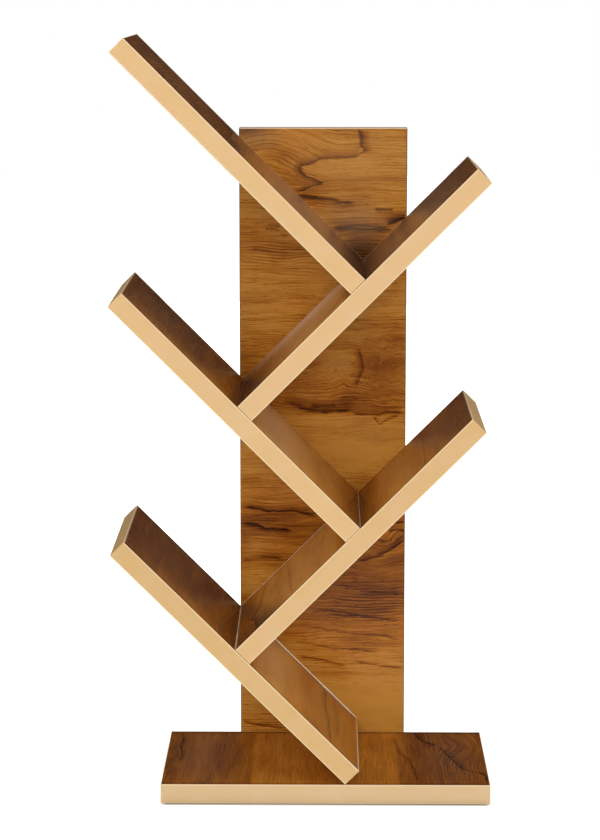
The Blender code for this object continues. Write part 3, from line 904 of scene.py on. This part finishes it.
# %% The base board's print and painted reflection, from its front edge and its left end
# lighter from about 70 to 180 mm from the left end: a painted reflection of the panel behind
BASE_TONES = (
    (0, 0.56),
    (40, 0.58),
    (66, 0.60),
    (71, 0.79),
    (110, 0.80),
    (150, 0.72),
    (177, 0.66),
    (184, 0.49),
    (250, 0.46),
)
BASE_PATCHES = (
    ((60, 4), (90, 10), -0.1),
    ((40, 130), (70, 22), -0.14),
    ((100, 208), (9, 5), -0.2),
    ((18, 158), (50, 18), -0.12),
    ((128, 176), (20, 14), 0.14),
    ((100, 185), (52, 9), 0.16),
)
BASE_SWELLS = (((100, 236), (60, 26), 14, 0), ((70, 4), (70, 16), 4, 12))
BASE_TINTS = (
    ((70, 30), (110, 36), 0.17, GREYED_TEAK),
    ((100, 208), (10, 6), 0.5, RED_TEAK),
    ((65, 222), (110, 36), 0.1, GREYED_TEAK),
)
BASE_RINGS = (((67, 225), (110, 34)), ((67, 4), (100, 16)))
BASE_VEINS = (
    ("along", ((3, 248), (27, 246), (37, 232), (52, 227), (70, 222), (87, 217), (97, 214)), 1.5, 5, 0.34),
    ("along", ((97, 213), (105, 206), (113, 201), (127, 198), (135, 196)), 1.5, 5, 0.34),
    ("along", ((3, 196), (42, 193), (63, 190), (80, 184), (102, 182), (128, 179)), 0.7, -3, 0.3),
    ("along", ((55, 7), (76, 12), (93, 10), (120, 12)), 0.8, 3, 0.38),
)
print(f"base board: {len(BASE_PATCHES)} patches and {len(BASE_VEINS)} veins")

# %% The shelves' prints and painted light, from the front edge and up from the foot
# Along each shelf the tones are print and painted light together: darker towards the foot on the upper
# shelves, a painted shade of the corner each stands in; light up to about 105 mm, a painted reflection of
# the panel that also makes up for the shade of the board above; and a dip near 125 mm, painted shade as
# well
SHELF_TONES = {
    1: (
        (0, 0.0), (10, 0.06), (30, 0.52), (55, 0.66), (95, 0.6),
        (118, 0.42), (132, 0.24), (150, 0.36), (250, 0.32),
    ),
    2: (
        (0, 0.2), (12, 0.36), (24, 0.6), (45, 0.76), (105, 0.88),
        (125, 0.1), (150, 0.46), (195, 0.46), (250, 0.42),
    ),
    3: ((0, 0.36), (15, 0.7), (60, 0.94), (105, 0.98), (125, 0.44), (145, 0.66), (180, 0.62), (250, 0.54)),
    4: (
        (0, 0.62), (20, 0.8), (50, 0.94), (105, 0.86), (125, 0.42), (145, 0.64),
        (168, 0.94), (185, 0.88), (198, 0.74), (215, 0.72), (230, 0.58), (250, 0.52),
    ),
    5: ((0, 0.7), (40, 0.68), (72, 0.88), (90, 1.0), (105, 1.0), (125, 0.36), (150, 0.5), (250, 0.4)),
}
SHELF_PATCHES = {
    2: (((135, 26), (70, 34), 0.3),),
    3: (((0, 195), (44, 74), 0.3), ((135, 205), (60, 60), -0.18)),
    4: (((0, 30), (60, 38), -0.54), ((100, 165), (60, 22), 0.1)),
    5: (((0, 190), (44, 70), 0.28), ((0, 52), (45, 26), -0.12), ((110, 84), (50, 26), 0.12)),
}
# On each shelf the first cover, over the stretch in front of the panel, is a painted reflection of the
# panel's sheen; the painted-light teak, and shelf 2's highlight patch near its rear, are painted light on
# the top where the board above shades it
SHELF_TINTS = {
    1: (((70, 64), (160, 76), 0.6, GREYED_TEAK), ((65, 205), (170, 90), 0.1, GREYED_TEAK)),
    2: (
        ((65, 65), (160, 75), 0.4, GREYED_TEAK),
        ((110, 76), (120, 62), 0.75, PAINTED_LIGHT_TEAK),
        ((125, 66), (56, 90), 0.6, PAINTED_HIGHLIGHT_PRINT),
        ((65, 190), (170, 80), 0.4, GREYED_TEAK),
    ),
    3: (
        ((65, 60), (160, 75), 0.4, PALE_TEAK),
        ((70, 92), (150, 48), 0.85, PAINTED_LIGHT_TEAK),
        ((65, 205), (170, 90), 0.24, GREYED_TEAK),
    ),
    4: (((65, 65), (160, 75), 0.45, PALE_TEAK), ((65, 215), (170, 90), 0.24, GREYED_TEAK)),
    5: (
        ((65, 65), (160, 75), 0.3, PALE_TEAK),
        ((80, 98), (150, 36), 0.5, PAINTED_LIGHT_TEAK),
        ((65, 205), (170, 90), 0.22, GREYED_TEAK),
    ),
}
# pale ends and rear edges are painted highlights; the dark front edges are glue lines, and the dark rear
# edges beside the panel are glue lines and painted shade
SHELF_RIMS = {
    1: ((0.0, PAINTED_HIGHLIGHT_PRINT), (0.75, GLUE_AND_SHADE_LINE), (0.5, PAINTED_HIGHLIGHT_PRINT)),
    2: ((0.2, PAINTED_HIGHLIGHT_PRINT), (0.75, GLUE_AND_SHADE_LINE), (0.35, PAINTED_HIGHLIGHT_PRINT)),
    3: ((0.3, PAINTED_HIGHLIGHT_PRINT), (0.75, GLUE_AND_SHADE_LINE), (0.2, PAINTED_HIGHLIGHT_PRINT)),
    4: ((0.5, PAINTED_HIGHLIGHT_PRINT), (0.75, GLUE_AND_SHADE_LINE), (0.5, GLUE_AND_SHADE_LINE)),
    5: ((1.0, PAINTED_HIGHLIGHT_PRINT), (0.75, GLUE_AND_SHADE_LINE), (0.6, GLUE_AND_SHADE_LINE)),
}
SHELF_VEINS = {
    4: (
        ("along", ((0, 22), (40, 19), (50, 15), (60, 20), (90, 24), (130, 28)), 1.2, 4, 0.51),
        ("along", ((0, 60), (60, 56), (130, 52)), 0.8, 3, 0.36),
        ("along", ((0, 200), (50, 201), (100, 202)), 0.6, 2, 0.36),
    ),
    5: (
        ("along", ((0, 30), (20, 31), (60, 33), (100, 36), (135, 35)), 1.2, 4, 0.45),
        ("along", ((30, 24), (80, 22), (120, 26)), 0.7, 3, 0.30),
    ),
}
print(f"shelves: tones for {len(SHELF_TONES)}, veins on {len(SHELF_VEINS)}")

# %% [markdown]
# ## Dressing the boards
#
# The boards and their tapes keep the frame's own shapes and only get their materials.

# %% Assign the materials


def dress(node, material):
    """Gives a CAD node its material."""
    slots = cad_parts[node].data.materials
    slots.clear()
    slots.append(material)


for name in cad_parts:
    if name.endswith("_band"):
        owner = name.rsplit("_", 2)[0]
        if name in ("panel_left_band", "panel_right_band"):
            dress(name, side_tape)
        # painted shade: dark foot bands in the corners where shelves 1 to 4 stand
        elif name.endswith("_foot_band") and owner != "shelf_5":
            dress(name, joint_tape)
        elif name.endswith(("_end_band", "_foot_band")):
            dress(name, end_tapes[owner])
        else:
            dress(name, tapes[owner])
    elif "_screw_" in name:
        dress(name, steel_material)
    elif name.endswith("_dowel"):
        dress(name, beech_material)
marks = PANEL_PATCHES, PANEL_SWELLS, PANEL_VEINS, PANEL_TINTS, PANEL_RINGS
dress("back_panel", laminate(panel_board, PANEL_TONES, *marks))
marks = BASE_PATCHES, BASE_SWELLS, BASE_VEINS, BASE_TINTS, BASE_RINGS
# dark glue lines along the base's ends and front edge, and along its rear edge beside the panel, painted
# shade as well
rims = [(0.7, GLUE_AND_SHADE_LINE)] * 3
dress("base", laminate(base_board, BASE_TONES, *marks, grit=0.6, rims=rims))
for number, board in shelf_boards.items():
    marks = SHELF_PATCHES.get(number, ()), (), SHELF_VEINS.get(number, ()), SHELF_TINTS[number]
    surface = laminate(board, SHELF_TONES[number], *marks, grit=0.3, rims=SHELF_RIMS[number])
    dress(f"shelf_{number}", surface)
print(f"{len(bpy.data.materials)} materials")

# %% [markdown]
# ## Table, light and backdrop
#
# The table is pale and plain, with a contact shadow painted round the base's foot. A large soft lamp in
# front and one overhead give a colour about the brightness it is written with, one behind lights the
# back, two weak ones at the sides shine in under the shelves, and the sky fills in the rest. Rays that
# see the table or the sky directly, or in a gloss, find them white. Two black flags stand out of the
# camera's sight, as photographers place them. The one behind the rack is what a shelf mirrors past the
# panel, and the one in front keeps the white table's gloss off the panel, so that its colour stays
# deep.

# %% What is seen directly


def seen_directly(tree):
    """1 for rays from the camera, or off a gloss or through glass."""
    path = add(tree, "LightPath").outputs
    seen = add(tree, "Math", (path["Is Camera Ray"], path["Is Glossy Ray"]), operation="ADD")
    return add(tree, "Math", (seen, path["Is Transmission Ray"]), operation="ADD", use_clamp=True)


print("rays to the backdrop are told apart")

# %% Table
FLOOR_HALF = 6.0  # metres
TABLE_WHITE, PAINTED_CONTACT_SHADOW = "F4F4F4", "8C857C"
NEAR_GLOW = 0.5  # how much the table glows round the rack, where shadows have to show
GLOW_FROM, GLOW_TO = 0.2, 0.7  # metres from the middle over which that comes up to 1
CONTACT_FROM, CONTACT_TO = 0.5, 7.0  # millimetres from the base over which the painted shadow fades
CONTACT_INSET = 4.0  # how far that painted shadow keeps in from the base's ends
floor_mesh = bpy.data.meshes.new("table")
corners = np.array([(-1, -1), (1, -1), (1, 1), (-1, 1)]) * FLOOR_HALF
floor_mesh.from_pydata([(x, y, 0.0) for x, y in corners.tolist()], [], [(0, 1, 2, 3)])
floor = bpy.data.objects.new("table", floor_mesh)
bpy.context.scene.collection.objects.link(floor)

floor_material, tree = new_material("white_table")
place = add(tree, "TexCoord").outputs["Object"]
distance = add(tree, "VectorMath", (place,), operation="LENGTH").outputs["Value"]
limits = {"Value": distance, "From Min": GLOW_FROM, "From Max": GLOW_TO, "To Min": NEAR_GLOW}
glow = add(tree, "Math", (seen_directly(tree), add(tree, "MapRange", limits)), operation="MULTIPLY")
# Painted contact shadow: right beside the base the table's colour and glow are darker, as light hardly
# gets into the joint
low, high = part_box("base")
off = add(tree, "VectorMath", (place, (low + high) / 2), operation="SUBTRACT")
off = add(tree, "VectorMath", (off,), operation="ABSOLUTE")
reach = (high - low) / 2 - Vector((CONTACT_INSET * MM, 0, 0))
off = add(tree, "VectorMath", (off, reach), operation="SUBTRACT")
off = add(tree, "VectorMath", (off, (0, 0, 0)), operation="MAXIMUM")
off = add(tree, "VectorMath", (off,), operation="LENGTH").outputs["Value"]
limits = {"Value": off, "From Min": CONTACT_FROM * MM, "From Max": CONTACT_TO * MM}
open_table = add(tree, "MapRange", limits, interpolation_type="SMOOTHSTEP")
glow = add(tree, "Math", (glow, open_table), operation="MULTIPLY")
white = {0: open_table, 6: linear(PAINTED_CONTACT_SHADOW), 7: linear(TABLE_WHITE)}
plain = add(tree, "BsdfDiffuse", {"Color": add(tree, "Mix", white, data_type="RGBA")})
lift = add(tree, "Emission", {"Color": linear("FFFFFF"), "Strength": glow})
add(tree, "OutputMaterial", {"Surface": add(tree, "AddShader", (plain, lift))})
floor_mesh.materials.append(floor_material)
print(f"a table {2 * FLOOR_HALF:.0f} m wide")

# %% Sky
SKY_LEVEL = 0.32
world = bpy.data.worlds.new("studio")
bpy.context.scene.world = world
world.use_nodes = True
tree = world.node_tree
tree.nodes.clear()
fill = add(tree, "Background", {"Color": linear("FFFFFF"), "Strength": SKY_LEVEL})
white = add(tree, "Background", {"Color": linear("FFFFFF"), "Strength": 1.0})
sky = add(tree, "MixShader", (seen_directly(tree), fill, white))
add(tree, "OutputWorld", {"Surface": sky})
print(f"the sky lights the rack at {SKY_LEVEL}")

# %% Lamps
LAMPS = (
    # name, place and size in metres, watts
    ("front_softbox", (-0.15, -2.5, 0.75), 1.3, 26.5),
    ("rear_softbox", (0.4, 2.6, 0.9), 2.0, 30.0),
    ("overhead_softbox", (0.2, -0.5, 2.2), 1.6, 15.0),
    ("left_softbox", (-1.4, 0.1, 0.9), 0.6, 5.5),
    ("right_softbox", (1.4, 0.1, 0.9), 0.6, 5.5),
)
AIM = Vector((0, 0, 0.28))  # about half way up the rack
for name, place, size, power in LAMPS:
    lamp = bpy.data.objects.new(name, bpy.data.lights.new(name, "AREA"))
    lamp.data.shape, lamp.data.size, lamp.data.energy = "SQUARE", size, power
    lamp.location = place
    lamp.rotation_euler = (AIM - Vector(place)).to_track_quat("-Z", "Y").to_euler()
    lamp.visible_camera = lamp.visible_glossy = False
    bpy.context.scene.collection.objects.link(lamp)
print(f"{len(LAMPS)} lamps")

# %% Flags
FLAGS = (
    # name, half width, top and place in depth, in metres
    ("rear_flag", 1.6, 1.5, 0.7),
    ("front_flag", 0.8, 0.65, -0.6),
)
flag_material, tree = new_material("black_felt")
add(tree, "OutputMaterial", {"Surface": add(tree, "BsdfDiffuse", {"Color": linear("2A2826")})})
for name, half, top, depth in FLAGS:
    mesh = bpy.data.meshes.new(name)
    sheet = [(-half, depth, MM), (half, depth, MM), (half, depth, top), (-half, depth, top)]
    mesh.from_pydata(sheet, [], [(0, 1, 2, 3)])
    mesh.materials.append(flag_material)
    flag = bpy.data.objects.new(name, mesh)
    bpy.context.scene.collection.objects.link(flag)
    for ray in ("camera", "diffuse", "transmission", "volume_scatter", "shadow"):
        setattr(flag, f"visible_{ray}", False)
print(f"{len(FLAGS)} flags")
